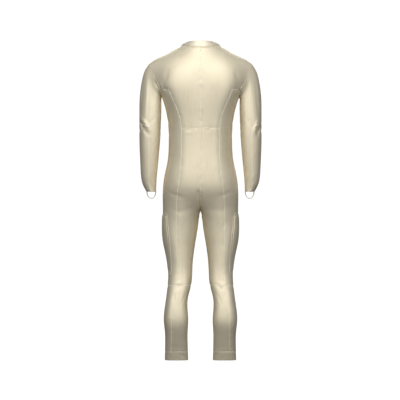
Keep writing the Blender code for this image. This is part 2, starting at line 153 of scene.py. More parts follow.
# %% [markdown]
# ## The cloth's finish
# Race cloth is a dense warp knit of elastane with a smooth, slightly coated face. It looks like dull
# satin: a soft wide gloss, no visible holes, and fine lines along the wearer's length where the knit's
# columns run and are stretched. The real columns are about 0.4 mm apart, too fine for the picture, so
# they are drawn about 3 mm apart and very shallow.

# %% Satin stretch knit


def satin_knit(name, light, dark, roughness):
    material, tree, shader = start_material(
        name, Metallic=0.9, Roughness=roughness, Specular_IOR_Level=0.5, IOR=1.46
    )
    columns = add_node(
        tree,
        "ShaderNodeTexNoise",
        {"Vector": pattern_points(tree, (1, 1, 0.035)), "Scale": 330.0, "Detail": 3.0, "Roughness": 0.6},
    )
    patches = add_node(
        tree,
        "ShaderNodeTexNoise",
        {"Vector": pattern_points(tree), "Scale": 14.0, "Detail": 2.0, "Roughness": 0.5},
    )
    both = add_node(
        tree,
        "ShaderNodeMath",
        {0: columns.outputs["Fac"], 1: patches.outputs["Fac"]},
        operation="ADD",
    )
    ramp = add_node(tree, "ShaderNodeValToRGB", {"Fac": both.outputs[0]})
    ramp.color_ramp.elements[0].position = 0.7
    ramp.color_ramp.elements[0].color = colour(dark)
    ramp.color_ramp.elements[1].position = 1.3
    ramp.color_ramp.elements[1].color = colour(light)
    tree.links.new(ramp.outputs["Color"], shader.inputs["Base Color"])
    grain = add_node(
        tree,
        "ShaderNodeTexNoise",
        {"Vector": pattern_points(tree, (1, 1, 0.5)), "Scale": 900.0, "Detail": 2.0},
    )
    height = add_node(
        tree,
        "ShaderNodeMath",
        {0: grain.outputs["Fac"], 1: 0.25, 2: columns.outputs["Fac"]},
        operation="MULTIPLY_ADD",
    )
    relief = {"Height": height.outputs[0], "Strength": 0.35, "Distance": 0.0004}
    bump = add_node(tree, "ShaderNodeBump", relief)
    tree.links.new(bump.outputs["Normal"], shader.inputs["Normal"])
    return material


cloth = satin_knit("satin_stretch_knit", "#F2E9D1", "#ECE2C9", 0.7)
collar_cloth = satin_knit("satin_stretch_knit_doubled", "#F5EDD8", "#F0E7D0", 0.7)
print("cloth materials:", cloth.name, collar_cloth.name)

# %% [markdown]
# ## Thread, tape, elastic and metal
# Seams are closed with bulky polyester thread, which is duller than the cloth and a little lighter.
# The zip's tape is a woven twill, and the finger loops are narrow woven elastic with ribs along them.
# The zip's slider is cast zinc with a brushed, nickelled skin.

# %% Small finishes


def ribbed(name, light, dark, pitch_mm, direction, roughness, depth_mm, gloss=0.0):
    """Bands on a piece's UV map, which is in metres. A wave's own period is a fifth or a tenth of pi."""
    material, tree, shader = start_material(
        name, Roughness=roughness, Metallic=gloss, Sheen_Weight=0.2, Specular_IOR_Level=0.3
    )
    period = math.pi / (5 if direction == "DIAGONAL" else 10)
    bands = add_node(
        tree,
        "ShaderNodeTexWave",
        {"Vector": pattern_points(tree, source="UV"), "Scale": period / (pitch_mm * MM)},
        wave_type="BANDS",
        bands_direction=direction,
    )
    ramp = add_node(tree, "ShaderNodeValToRGB", {"Fac": bands.outputs["Fac"]})
    ramp.color_ramp.elements[0].color = colour(dark)
    ramp.color_ramp.elements[1].color = colour(light)
    tree.links.new(ramp.outputs["Color"], shader.inputs["Base Color"])
    height = {"Height": bands.outputs["Fac"], "Strength": 0.6, "Distance": depth_mm * MM}
    bump = add_node(tree, "ShaderNodeBump", height)
    tree.links.new(bump.outputs["Normal"], shader.inputs["Normal"])
    return material


seam_thread = ribbed("bulky_polyester_thread", "#FFF8E2", "#F3E8C9", 2.2, "DIAGONAL", 0.6, 0.2, 0.4)
woven_tape = satin_knit("woven_zip_tape", "#E2D8B8", "#D3C8A5", 0.7)
stitch_thread = start_material(
    "spun_polyester_stitches",
    Base_Color=colour("#EFE8D2"),
    Roughness=0.6,
    Metallic=0.3,
    Specular_IOR_Level=0.3,
)[0]
elastic = ribbed("ribbed_woven_elastic", "#F4EFDF", "#D8CFB4", 1.1, "Y", 0.7, 0.2)
zip_plastic, _, _ = start_material(
    "moulded_zip_plastic", Base_Color=colour("#E9E0C4"), Roughness=0.34, Specular_IOR_Level=0.5
)
metal, metal_tree, metal_shader = start_material(
    "brushed_nickel_zinc", Base_Color=colour("#A6A49D"), Metallic=1.0, Roughness=0.42
)
brushing = add_node(
    metal_tree,
    "ShaderNodeTexNoise",
    {"Vector": pattern_points(metal_tree, (1, 1, 0.06)), "Scale": 2600.0, "Detail": 2.0},
)
scratches = {"Height": brushing.outputs["Fac"], "Strength": 0.3, "Distance": 0.0001}
brushed = add_node(metal_tree, "ShaderNodeBump", scratches)
metal_tree.links.new(brushed.outputs["Normal"], metal_shader.inputs["Normal"])
print("small finishes:", seam_thread.name, woven_tape.name, elastic.name, zip_plastic.name, metal.name)

# %% [markdown]
# ## The outer sheet of each panel
# Every CAD panel is a thin wall of loose triangles. A copy is merged, and then only the sheet that faces
# out is kept: starting from the face that lies furthest out, Blender selects all the faces that follow
# on smoothly, which stops at the wall's rim. The rim's own faces are tiny, and none of them is a start.
# The triangles then go back into the quads they came from, because a smooth surface needs quads.

# %% Take the outer sheets
FLAT_ENOUGH = math.radians(48)
LARGEST_RIM_FACE = 25 * MM * MM
OUTWARD = {
    "back_upper": (0, 1, 0),
    "seat_back": (0, 1, 0),
    "side": (1, 0, 0),
    "front": (0, -1, 0),
    "calf_outer": (1, 0, 0),
    "calf_inner": (-1, 0, 0),
    "ankle_band": (0, 1, 0),
    "sleeve": (1, 0, 0),
    "forearm_panel": (1, 0, 0),
    "collar": (0, 1, 0),
    "zip_tape": (0, -1, 0),
    "thigh_panel": (1, 0, 0),
}


def outer_sheet(node_name):
    family = node_name.removesuffix("_L").removesuffix("_R")
    outward = Vector(OUTWARD[family])
    if node_name.endswith("_R"):
        outward.x = -outward.x
    sheet = nodes[node_name].copy()
    sheet.data = nodes[node_name].data.copy()
    sheet.name = f"sheet_{node_name}"
    for key in list(sheet.keys()):
        del sheet[key]
    sheet.parent = None
    bpy.context.scene.collection.objects.link(sheet)
    select_only(sheet)
    bpy.ops.object.mode_set(mode="EDIT")
    bpy.ops.mesh.select_mode(type="FACE")
    bpy.ops.mesh.select_all(action="SELECT")
    bpy.ops.mesh.remove_doubles(threshold=0.02 * MM)
    bpy.ops.mesh.select_all(action="DESELECT")
    bpy.ops.object.mode_set(mode="OBJECT")
    large = [face for face in sheet.data.polygons if face.area > LARGEST_RIM_FACE]
    facing = [face for face in large if face.normal.dot(outward) > 0.7]
    start = max(facing, key=lambda face: face.center.dot(outward))
    start.select = True
    bpy.ops.object.mode_set(mode="EDIT")
    bpy.ops.mesh.faces_select_linked_flat(sharpness=FLAT_ENOUGH)
    bpy.ops.mesh.select_all(action="INVERT")
    bpy.ops.mesh.delete(type="FACE")
    bpy.ops.mesh.select_all(action="SELECT")
    bpy.ops.mesh.tris_convert_to_quads(
        face_threshold=math.radians(70), shape_threshold=math.radians(70), topology_influence=1.0
    )
    bpy.ops.object.mode_set(mode="OBJECT")
    marker = bpy.data.materials.get(node_name) or bpy.data.materials.new(node_name)
    sheet.data.materials.clear()
    sheet.data.materials.append(marker)
    return sheet


OTHER_NODES = ("zip_pull", "zip_slider", "finger", "thigh")
cloth_nodes = [name for name in sorted(nodes) if not name.startswith(OTHER_NODES)]
sheets = [outer_sheet(name) for name in cloth_nodes]
triangles_left = sum(len(face.vertices) != 4 for sheet in sheets for face in sheet.data.polygons)
sheet_faces = sum(len(sheet.data.polygons) for sheet in sheets)
print("outer sheets:", len(sheets), "faces:", sheet_faces, "not quads:", triangles_left)

# %% [markdown]
# ## One smooth surface
# The sheets are joined and their edges merged across the 0.3 mm seam gaps, so that light runs over a
# seam without a break. Subdivision Surface shrinks a mesh towards the inside of its curves. To make the
# smooth surface pass through the panels' own points, the points are first moved out by what it takes away.

# %% Join, merge and subdivide
select_only(*sheets)
bpy.ops.object.join()
skin = bpy.context.view_layer.objects.active
skin.name = "suit_skin"
bpy.ops.object.mode_set(mode="EDIT")
bpy.ops.mesh.select_all(action="SELECT")
bpy.ops.mesh.remove_doubles(threshold=0.6 * MM)
bpy.ops.mesh.normals_make_consistent(inside=False)
bpy.ops.object.mode_set(mode="OBJECT")


def smooth_through(obj, levels):
    """Subdivides a mesh into a smooth surface that passes through the points it had."""
    wanted = read_points(obj.data)
    smooth = obj.modifiers.new("Smooth", "SUBSURF")
    smooth.levels = smooth.render_levels = 1
    for _ in range(4):
        bpy.context.view_layer.update()
        reached = obj.evaluated_get(bpy.context.evaluated_depsgraph_get()).data
        off = wanted - read_points(reached)[: len(wanted)]
        write_points(obj.data, read_points(obj.data) + off)
    smooth.levels = smooth.render_levels = levels
    select_only(obj)
    bpy.ops.object.modifier_apply(modifier="Smooth")
    return np.abs(off).max() / MM


missed = smooth_through(skin, 2)
print("suit skin:", len(skin.data.vertices), "points, off by", round(missed, 3), "mm")

# %% [markdown]
# ## Pressing the creases in
# Tight cloth creases where the body bends and where seams hold it: in the armpits, at the elbows, under
# the seat, in the crotch and behind the knees. Each crease is one stroke with a path, a width and a
# height, negative for a trough. It is full in the middle and fades to its ends. Places on the back are
# read off the photograph, where one pixel is 4.58 mm, and a ray finds the cloth there. The hidden sides
# get creases of the same kind.

# %% Strokes
PIXEL, MIDDLE_COLUMN, ORIGIN_ROW = 4.58 * MM, 200.5, 47.0
FAR = 2.0
surface_tree = BVHTree.FromPolygons(
    [tuple(p) for p in read_points(skin.data)], [tuple(f.vertices) for f in skin.data.polygons]
)


def on_back(column, row):
    """The place on the cloth at this pixel of the photograph."""
    start = Vector(((MIDDLE_COLUMN - column) * PIXEL, FAR, (ORIGIN_ROW - row) * PIXEL))
    hit = surface_tree.ray_cast(start, Vector((0, -1, 0)))[0]
    return hit or surface_tree.find_nearest(Vector((start.x, 0, start.z)))[0]


def on_front(x, z):
    start = Vector((x * MM, -FAR, z * MM))
    hit = surface_tree.ray_cast(start, Vector((0, 1, 0)))[0]
    return hit or surface_tree.find_nearest(Vector((start.x, 0, start.z)))[0]


def nearby(x, y, z):
    return surface_tree.find_nearest(Vector((x, y, z)) * MM)[0]


def stroke(points, path, width):
    """How strongly a stroke along this path moves each point, from 0 to 1."""
    path = np.array([tuple(p) for p in path])
    steps = np.linalg.norm(np.diff(path, axis=0), axis=1)
    starts = np.concatenate([[0], np.cumsum(steps)])
    best = np.full(len(points), np.inf)
    along = np.zeros(len(points))
    for a, b, step, start in zip(path, path[1:], steps, starts):
        share = np.clip(((points - a) @ (b - a)) / step**2, 0, 1)
        away = np.linalg.norm(points - a - share[:, None] * (b - a), axis=1)
        nearer = away < best
        best[nearer] = away[nearer]
        along[nearer] = (start + share * step)[nearer] / starts[-1]
    fade = np.sqrt(np.clip(np.sin(np.pi * np.clip(along, 0.04, 0.96)), 0, 1))
    return np.exp(-((best / (width * MM)) ** 2)) * fade


# width and height in mm, then the path in the photograph's pixels
BACK_STROKES = (
    (5, -6, (155.2, 81.5), (158.3, 88), (160.7, 95)),
    (5, 3, (158.6, 81), (161.8, 87), (164, 93.5)),
    (5, -2, (161.5, 86.5), (166, 90), (171, 92)),
    (11, -2, (163, 84), (166, 78), (168, 70)),
    (5, -6, (243.2, 85.5), (240.6, 91), (239.2, 97)),
    (5, 2.5, (240, 86), (238, 90), (236, 95)),
    (9, -2, (240, 84), (237, 78), (235.5, 71)),
    (4, -1.1, (184, 46.5), (173, 52), (163, 57)),
    (3.5, 0.9, (185, 48), (175, 53.5), (166, 58.5)),
    (4, -1, (182, 50), (174, 55), (168, 60)),
    (4, -1.1, (217.5, 46.5), (228, 52), (237, 57)),
    (3.5, 0.9, (217, 48), (227, 53.5), (234, 58)),
    (4, -1, (219, 50.5), (227, 55.5), (232, 60)),
    (7, 1.6, (147.5, 74), (146.3, 95), (144.8, 117)),
    (2.6, -0.9, (148.6, 84), (148, 102), (147.4, 121)),
    (2.6, 0.8, (150.6, 80), (150.2, 98), (149.8, 118)),
    (2.4, -0.8, (153, 86), (152.6, 104), (152, 124)),
    (2.4, -0.8, (251.2, 83), (251.8, 101), (252.6, 120)),
    (2.6, 0.8, (249, 80), (249.4, 98), (250, 116)),
    (2.4, -0.9, (246.6, 88), (247.2, 106), (248, 126)),
    (6, -1.6, (143.5, 78), (141.8, 98), (140.2, 117)),
    (7, -1.2, (151, 80), (150.5, 100), (150, 116)),
    (7, 1.6, (250.5, 74), (251.5, 95), (253.2, 116)),
    (6, -1.6, (255.2, 78), (257.4, 98), (258.8, 116)),
    (4.4, -9, (137.8, 119.3), (141.2, 124.5), (147, 133)),
    (6, 4.4, (139.5, 115.5), (144.7, 122.3), (150, 130.5)),
    (4.4, -8, (262, 123), (259.5, 129), (257.4, 135)),
    (6, 3.6, (258.6, 120.5), (255.6, 126.5), (254, 134)),
    (4, -1.2, (155.5, 116), (152, 121), (147, 124)),
    (4, -1.2, (246, 117), (250, 122), (255, 124)),
    (3.5, -1, (184.5, 130.6), (188, 130.2), (192.5, 131)),
    (3, 0.8, (185, 132.3), (189, 132), (194, 132.6)),
    (3.5, -0.9, (203, 131), (207, 130.6), (211, 131.4)),
    (8, -2.6, (198.7, 190), (198.5, 194), (198.9, 198)),
    (9, -5, (199.4, 194), (200, 201), (200.4, 209)),
    (15, -1.2, (196.5, 206.5), (188, 210), (178.5, 211.3), (170, 208)),
    (15, -1.1, (204, 206.5), (213, 210), (222, 210.3), (231, 207)),
    (5, -1.4, (176.5, 212.4), (178.2, 212), (180.5, 212.6)),
    (3, -1.7, (202.6, 210.2), (205.4, 211), (208.6, 211.2)),
    (3, 1.1, (203, 212), (206, 212.9), (209.4, 213)),
    (3, -1.5, (203.4, 213.8), (206, 214.8), (209, 215.2)),
    (3, -1.2, (204.2, 217), (206.5, 218), (208.6, 218.8)),
    (3, -1.3, (198.6, 211.5), (196, 212.6), (193, 212.6)),
    (3, -1, (198, 214.8), (195.6, 216), (193.6, 216.6)),
    (8, -1.8, (168.5, 192), (176, 195.5), (184, 197.8)),
    (8, -1.5, (232, 191), (225, 194.5), (218, 196.5)),
    (4, 2.2, (168, 284.6), (177, 283.4), (187.5, 284.8)),
    (3.4, -1.6, (168, 288.2), (178, 288), (187, 288.8)),
    (3, 0.9, (169, 291), (178, 290.8), (187, 291.4)),
    (4, 2.2, (210, 285.2), (219, 284.2), (222, 284.8), (231, 284.6)),
    (3.4, -1.7, (211, 288.8), (221, 288.9), (230, 288.4)),
    (3, 0.9, (212, 291.6), (221, 291.6), (229, 291.4)),
    (4, -1.1, (213, 290.5), (218, 296), (222, 304)),
    (4, -0.9, (228.5, 291), (225, 296), (223, 302)),
    (4, -0.9, (170, 291), (174, 296), (176, 303)),
    (4, -0.9, (187, 291), (184, 297), (181, 304)),
    (5, -1, (170, 346.5), (177, 348), (184, 347)),
    (5, -0.9, (214, 347), (220, 348.4), (228, 346.4)),
    (3.5, -1.8, (179.6, 354.6), (182, 356), (184.4, 358)),
    (3, -1, (214, 356.5), (217, 355.4), (220, 356)),
)
# width and height in mm, then the path on the front in mm: x to the wearer's left, and height
FRONT_STROKES = (
    (6, -5, (200, -160), (188, -200), (182, -235)),
    (9, -2, (180, -190), (160, -170), (140, -158)),
    (6, -5, (-200, -162), (-189, -202), (-183, -236)),
    (9, -2.2, (-178, -195), (-158, -176), (-136, -166)),
    (6, -3, (196, -356), (222, -366), (262, -362)),
    (6, 2, (196, -370), (226, -380), (262, -374)),
    (5, -2.4, (200, -386), (228, -394), (256, -386)),
    (6, -3, (-196, -360), (-224, -368), (-264, -358)),
    (5, 1.8, (-198, -374), (-226, -382), (-258, -376)),
    (5, -2.2, (-204, -392), (-232, -398), (-258, -388)),
    (10, -3, (18, -712), (60, -676), (112, -628)),
    (7, -1.6, (30, -730), (74, -706), (126, -676)),
    (10, -3, (-18, -714), (-62, -680), (-110, -636)),
    (7, -1.5, (-28, -736), (-70, -712), (-120, -684)),
    (8, -1.6, (20, -392), (66, -384), (118, -370)),
    (7, -1.3, (-24, -380), (-64, -376), (-112, -384)),
    (8, -1.4, (24, -470), (60, -462), (104, -468)),
    (8, -1.2, (-20, -498), (-58, -488), (-98, -492)),
    (6, -1.4, (58, -1066), (84, -1074), (118, -1062)),
    (6, -1.5, (62, -1118), (92, -1110), (124, -1120)),
    (6, -1.4, (-60, -1062), (-88, -1072), (-120, -1060)),
    (6, -1.5, (-60, -1122), (-94, -1112), (-126, -1116)),
    (5, -1.7, (74, -1372), (106, -1380), (142, -1366)),
    (5, 1.2, (78, -1384), (108, -1391), (140, -1380)),
    (5, -1.6, (-72, -1376), (-104, -1384), (-142, -1370)),
    (5, 1.2, (-80, -1388), (-110, -1394), (-140, -1384)),
)
# width and height in mm, then the path in mm beside the cloth: the inner and outer sides
SIDE_STROKES = (
    (6, -2.6, (300, 10, -372), (300, -20, -380), (280, -50, -378)),
    (5, -2, (190, 30, -340), (180, 0, -352), (185, -30, -356)),
    (5, -2.2, (190, 26, -372), (180, -2, -380), (186, -34, -378)),
    (6, -2.6, (-300, 12, -376), (-300, -18, -384), (-280, -48, -380)),
    (5, -2, (-190, 28, -346), (-180, 0, -356), (-185, -30, -352)),
    (5, -2.2, (-190, 24, -378), (-180, -2, -386), (-186, -34, -382)),
    (8, -2, (160, 40, -330), (160, 0, -344), (155, -40, -340)),
    (7, -1.5, (158, 30, -392), (158, -4, -400), (150, -44, -396)),
    (8, -2, (-160, 38, -336), (-160, 0, -348), (-155, -42, -346)),
    (7, -1.5, (-158, 28, -398), (-158, -4, -404), (-150, -46, -398)),
    (6, -1.8, (44, 40, -1078), (36, 8, -1096), (44, -24, -1092)),
    (6, -1.6, (160, 34, -1084), (166, 4, -1100), (158, -28, -1098)),
    (6, -1.8, (-44, 42, -1082), (-36, 10, -1100), (-44, -22, -1096)),
    (6, -1.6, (-160, 36, -1080), (-166, 6, -1096), (-158, -26, -1100)),
    (4, -1.6, (14, 24, -762), (14, -6, -768), (18, -34, -764)),
    (4, -1.4, (18, 30, -786), (16, 0, -792), (20, -30, -790)),
    (4, -1.6, (-14, 24, -766), (-14, -6, -770), (-18, -34, -768)),
    (4, -1.4, (-18, 32, -790), (-16, 2, -797), (-20, -28, -794)),
)

points = read_points(skin.data)
moved = np.zeros(len(points))
for places, table in ((on_back, BACK_STROKES), (on_front, FRONT_STROKES), (nearby, SIDE_STROKES)):
    for width, height, *path in table:
        moved += stroke(points, [places(*place) for place in path], width) * height * MM
print("creases:", len(BACK_STROKES) + len(FRONT_STROKES) + len(SIDE_STROKES))

# %% [markdown]
# ## Seams pull and pucker
# A seam's thread is tighter than the cloth, so the cloth dips into the seam and ripples beside it. The
# seam's points are those between two panels. The dip is half a millimetre, and hardly any where the
# seam is sewn on the inside. The ripples die out within a few centimetres.

# %% Find the seams, and let the cloth dip and ripple there
panel_of_face = [skin.material_slots[f.material_index].name for f in skin.data.polygons]
face_pairs = {}
for face in skin.data.polygons:
    for key in face.edge_keys:
        face_pairs.setdefault(key, []).append(face.index)
ZIP_EDGES = {"front_L zip_tape_L", "front_R zip_tape_R"}


def meeting(faces):
    """The two panels that meet at an edge, as one name, or nothing."""
    return " ".join(sorted({panel_of_face[face] for face in faces}))


def turned_in(seam):
    """Whether this seam is sewn on the inside, as at the armhole, on the shoulder and at the collar."""
    at_armhole = "sleeve" in seam and "forearm" not in seam
    return at_armhole or "collar" in seam or ("back_upper" in seam and "front" in seam)


seam_edges = {key: meeting(faces) for key, faces in face_pairs.items() if " " in meeting(faces)}
hem_edges = {key: meeting(faces) for key, faces in face_pairs.items() if len(faces) == 1}
seam_points = sorted({point for key in seam_edges for point in key})
seam_tree = KDTree(len(seam_points))
for place, point in enumerate(seam_points):
    seam_tree.insert(points[point], place)
seam_tree.balance()

RIPPLE_REACH, RIPPLE_HEIGHT, RIPPLE_SCALE = 14 * MM, 0.9 * MM, 75
# Broad shallow waves all over the cloth, longer along the body than round it
WAVE_HEIGHT, WAVE_SCALE, WAVE_SCALE_ALONG = 0.8 * MM, 16, 5
DIP, DIP_TURNED_IN = 0.5, 0.1
dips = np.zeros(len(points))
for index, point in enumerate(points):
    away = seam_tree.find(point)[2]
    if away < 3 * RIPPLE_REACH:
        ripple = noise.noise(Vector(point) * RIPPLE_SCALE)
        moved[index] += RIPPLE_HEIGHT * ripple * math.exp(-((away / RIPPLE_REACH) ** 2))
    x, y, z = point
    moved[index] += WAVE_HEIGHT * noise.noise(Vector((x * WAVE_SCALE, y * WAVE_SCALE, z * WAVE_SCALE_ALONG)))
for key, seam in seam_edges.items():
    dips[list(key)] = np.maximum(dips[list(key)], DIP_TURNED_IN if turned_in(seam) else DIP)
moved -= dips * MM
# Round the collar seam, in mm: a groove on it, then a swelling and a second groove below it, each with
# its height, its distance from the seam and its width
NECK_REACH = 20
NECK_GROOVE, NECK_BAND, NECK_SECOND = (2.4, 0, 2.6), (1.4, 7, 3.2), (1.3, 13.5, 2.6)


def bulge(away, height, distance, width):
    return height * math.exp(-(((away - distance) / width) ** 2))


neck_seam = sorted({point for key, seam in seam_edges.items() if "collar" in seam for point in key})
neck_tree = KDTree(len(neck_seam))
for place, point in enumerate(neck_seam):
    neck_tree.insert(points[point], place)
neck_tree.balance()
for index, point in enumerate(points):
    seam_point, _, away = neck_tree.find(point)
    away /= MM
    if away < NECK_REACH:
        moved[index] -= MM * bulge(away, *NECK_GROOVE)
        if point[2] < seam_point[2]:
            moved[index] += MM * (bulge(away, *NECK_BAND) - bulge(away, *NECK_SECOND))
skin_normals = read_normals(skin.data)
write_points(skin.data, points + skin_normals * moved[:, None])
print("seam points:", len(seam_points), "largest move:", round(float(np.abs(moved).max()) / MM, 2), "mm")

# %% [markdown]
# ## Seam lines and hems as chains
# To lay a seam on the cloth, its edges have to be in order. Each chain starts at a point where seams
# meet or end, and walks on from edge to edge.

# %% Walk along the edges


def chains_of(edges):
    """Splits edges into runs of points. A run ends where seams meet, and a closed one ends where it began."""
    beside = {}
    for a, b in edges:
        beside.setdefault(a, []).append(b)
        beside.setdefault(b, []).append(a)
    left = {frozenset(edge) for edge in edges}
    ends = [point for point, others in beside.items() if len(others) != 2]
    runs = []
    for start in ends + list(beside):
        for second in beside[start]:
            if frozenset((start, second)) not in left:
                continue
            run = [start, second]
            left.discard(frozenset(run))
            while len(beside[run[-1]]) == 2 and run[-1] != start:
                onward = [p for p in beside[run[-1]] if frozenset((run[-1], p)) in left]
                if not onward:
                    break
                left.discard(frozenset((run[-1], onward[0])))
                run.append(onward[0])
            runs.append(run)
    return runs


skin_points = read_points(skin.data)
skin_normals = read_normals(skin.data)
seam_runs = []
for seam in sorted(set(seam_edges.values()) - ZIP_EDGES):
    seam_runs += [(seam, run) for run in chains_of([key for key, name in seam_edges.items() if name == seam])]
print("seam runs:", len(seam_runs))

# %% [markdown]
# ## Sweeping a profile along a line
# A flat seam, an elastic tape and a hem are all a small profile swept along a line on the cloth. Each
# ring of the sweep stands on the cloth's own normal, the ends are closed, and the UV map holds real
# lengths, so that stitches and ribs have their true pitch.

# %% The sweep


def directions(path):
    ahead = np.gradient(path, axis=0)
    return ahead / np.maximum(np.linalg.norm(ahead, axis=1), 1e-9)[:, None]


def sweep(paths, profile, name, material):
    """One mesh of a closed profile swept along several lines. A path is points with normals."""
    vertices, faces, uvs = [], [], []
    profile = np.array(profile) * MM
    ring = len(profile)
    across = np.concatenate([[0], np.cumsum(np.linalg.norm(np.diff(profile, axis=0), axis=1))])
    across = np.append(across, across[-1] + np.linalg.norm(profile[0] - profile[-1]))
    for path, normals in paths:
        ahead = directions(path)
        beside = np.cross(ahead, normals)
        beside /= np.maximum(np.linalg.norm(beside, axis=1), 1e-9)[:, None]
        along = np.concatenate([[0], np.cumsum(np.linalg.norm(np.diff(path, axis=0), axis=1))])
        base = len(vertices)
        for place, side, up in zip(path, beside, normals):
            vertices += [place + side * x + up * z for x, z in profile]
        for step in range(len(path) - 1):
            for turn in range(ring):
                after = (turn + 1) % ring
                a, b = base + step * ring, base + (step + 1) * ring
                faces.append((a + turn, a + after, b + after, b + turn))
                u, v = (along[step], along[step + 1]), (across[turn], across[turn + 1])
                uvs += [(u[0], v[0]), (u[0], v[1]), (u[1], v[1]), (u[1], v[0])]
        last = base + (len(path) - 1) * ring
        faces.append(tuple(base + turn for turn in reversed(range(ring))))
        faces.append(tuple(last + turn for turn in range(ring)))
        uvs += [(0, 0)] * (2 * ring)
    obj = mesh_object(name, vertices, faces)
    layer = obj.data.uv_layers.new(name="UVMap")
    layer.data.foreach_set("uv", np.array(uvs, np.float32).ravel())
    select_only(obj)
    bpy.ops.object.mode_set(mode="EDIT")
    bpy.ops.mesh.select_all(action="SELECT")
    bpy.ops.mesh.normals_make_consistent(inside=False)
    bpy.ops.object.mode_set(mode="OBJECT")
    bpy.ops.object.shade_smooth_by_angle(angle=math.radians(50))
    obj.data.materials.append(material)
    return obj


def finish_piece(obj, body, slot_name, *replaced):
    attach(obj, body)
    if replaced:
        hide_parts(*replaced)


# %% [markdown]
# ## Flat seams
# Stretch cloth is sewn with a flatlock seam: two needle rows, and cover thread that runs from edge to
# edge between them. It lies on the cloth as a low rounded band about 4 mm wide. The armhole, shoulder
# and collar seams are overlocked on the inside instead, so only the groove between the panels shows.

# %% Lay the flat seams
FLATLOCK = ((-2.0, 0.0), (-1.5, 0.4), (-0.5, 0.65), (0.5, 0.65), (1.5, 0.4), (2.0, 0.0), (0.0, -0.5))
long_runs = [(seam, run) for seam, run in seam_runs if len(run) > 2]
flat_runs = [run for seam, run in long_runs if not turned_in(seam)]
flat_paths = [(skin_points[run], skin_normals[run]) for run in flat_runs]
flat_seams = sweep(flat_paths, FLATLOCK, "flat_seams", seam_thread)
finish_piece(flat_seams, "suit", "cloth")
print("flat seams:", len(flat_runs), "of", len(long_runs))

# %% [markdown]
# ## Hems and stitches
# The cuffs, the ankles and the collar's top end in a turned hem, which is a little thicker than one ply
# and round at its fold. Two rows of stitches hold it, or one at the collar's top. A stitch is 2.2 mm of
# thread that sinks into the cloth at both ends, so each one is a tiny lens. Lines of stitches are found
# by going in from an edge along the cloth.

# %% Round the hems and sew them
HEM_STEPS = 8
# Rows of stitches, in mm from the edge or seam that they follow
HEM_ROWS = {"collar": (5,), "cuff": (11, 14.5), "ankle": (10, 13.5)}
COLLAR_SEAM_ROWS, ZIP_ROWS = (-6, -3, 3, 6), (-2.5, 2.5)
# In metres: an edge that rises above this height is the collar's, and one all beyond this distance
# from the middle is a cuff's
NECK_ABOVE, CUFF_BEYOND = -0.2, 0.19
PROBE, PROBE_MISS = 10, 3
skin_tree = BVHTree.FromPolygons(
    [tuple(p) for p in skin_points], [tuple(f.vertices) for f in skin.data.polygons]
)


def round_profile(radius, sink):
    turns = [2 * math.pi * step / HEM_STEPS for step in range(HEM_STEPS)]
    return [(radius * math.cos(turn), radius * math.sin(turn) - sink) for turn in turns]


def moved_aside(path, normals, distance_mm):
    """The line on the cloth this far to the side of another line, found again on the cloth."""
    beside = np.cross(directions(path), normals)
    found = [skin_tree.find_nearest(Vector(p)) for p in path + beside * distance_mm * MM]
    return np.array([tuple(hit[0]) for hit in found]), np.array([tuple(hit[1]) for hit in found])


def evenly(path, normals, pitch):
    """Points at equal steps along a line, with normals."""
    along = np.concatenate([[0], np.cumsum(np.linalg.norm(np.diff(path, axis=0), axis=1))])
    wanted = np.arange(pitch / 2, along[-1], pitch)
    spread = [np.interp(wanted, along, column) for column in (*path.T, *normals.T)]
    return np.stack(spread[:3], axis=1), np.stack(spread[3:], axis=1)


LENS = ((-1, 0, 0), (0, -1, 0), (0, 0, 1), (0, 1, 0), (0, 0, -1), (1, 0, 0))
LENS_FACES = ((0, 1, 2), (0, 2, 3), (0, 3, 4), (0, 4, 1), (5, 2, 1), (5, 3, 2), (5, 4, 3), (5, 1, 4))


def stitch_rows(lines, name, pitch_mm=3.0, size_mm=(1.1, 0.32, 0.3)):
    """One mesh of stitches along several lines on the cloth."""
    vertices, faces = [], []
    for path, normals in lines:
        spots, ups = evenly(path, normals, pitch_mm * MM)
        ahead = directions(spots)
        beside = np.cross(ahead, ups)
        for spot, axis, side, up in zip(spots, ahead, beside, ups):
            base = len(vertices)
            lens = np.array(LENS) * np.array(size_mm) * MM
            vertices += [spot + axis * a + side * b + up * c for a, b, c in lens]
            faces += [tuple(base + corner for corner in face) for face in LENS_FACES]
    obj = mesh_object(name, vertices, faces)
    select_only(obj)
    bpy.ops.object.mode_set(mode="EDIT")
    bpy.ops.mesh.select_all(action="SELECT")
    bpy.ops.mesh.normals_make_consistent(inside=False)
    bpy.ops.object.mode_set(mode="OBJECT")
    bpy.ops.object.shade_smooth()
    obj.data.materials.append(stitch_thread)
    return obj


hem_runs = chains_of(list(hem_edges))
stitch_lines = []
hem_cords = {"hems": ([], round_profile(0.85, 0.65)), "collar_top": ([], round_profile(1.25, 1.1))}
for run in hem_runs:
    path, normals = skin_points[run], skin_normals[run]
    at_neck = path[:, 2].max() > NECK_ABOVE
    hem_cords["collar_top" if at_neck else "hems"][0].append((path, normals))
    # The way in is the side on which a point some way off is found close to where it was looked for
    probe = moved_aside(path, normals, PROBE)[0]
    asked = path + np.cross(directions(path), normals) * PROBE * MM
    inward = 1 if np.linalg.norm(probe - asked, axis=1).mean() < PROBE_MISS * MM else -1
    at_cuff = np.abs(path[:, 0]).min() > CUFF_BEYOND
    for distance in HEM_ROWS["collar" if at_neck else "cuff" if at_cuff else "ankle"]:
        stitch_lines.append(moved_aside(path, normals, inward * distance))
for name, (paths, profile) in hem_cords.items():
    cord = sweep(paths, profile, name, collar_cloth if name == "collar_top" else cloth)
    finish_piece(cord, "suit", "cloth")
for seam, run in long_runs:
    if "collar" in seam and "zip" not in seam:
        for distance in COLLAR_SEAM_ROWS:
            line = moved_aside(skin_points[run], skin_normals[run], distance)
            if line[0][:, 2].mean() > skin_points[run][:, 2].mean():
                stitch_lines.append(line)
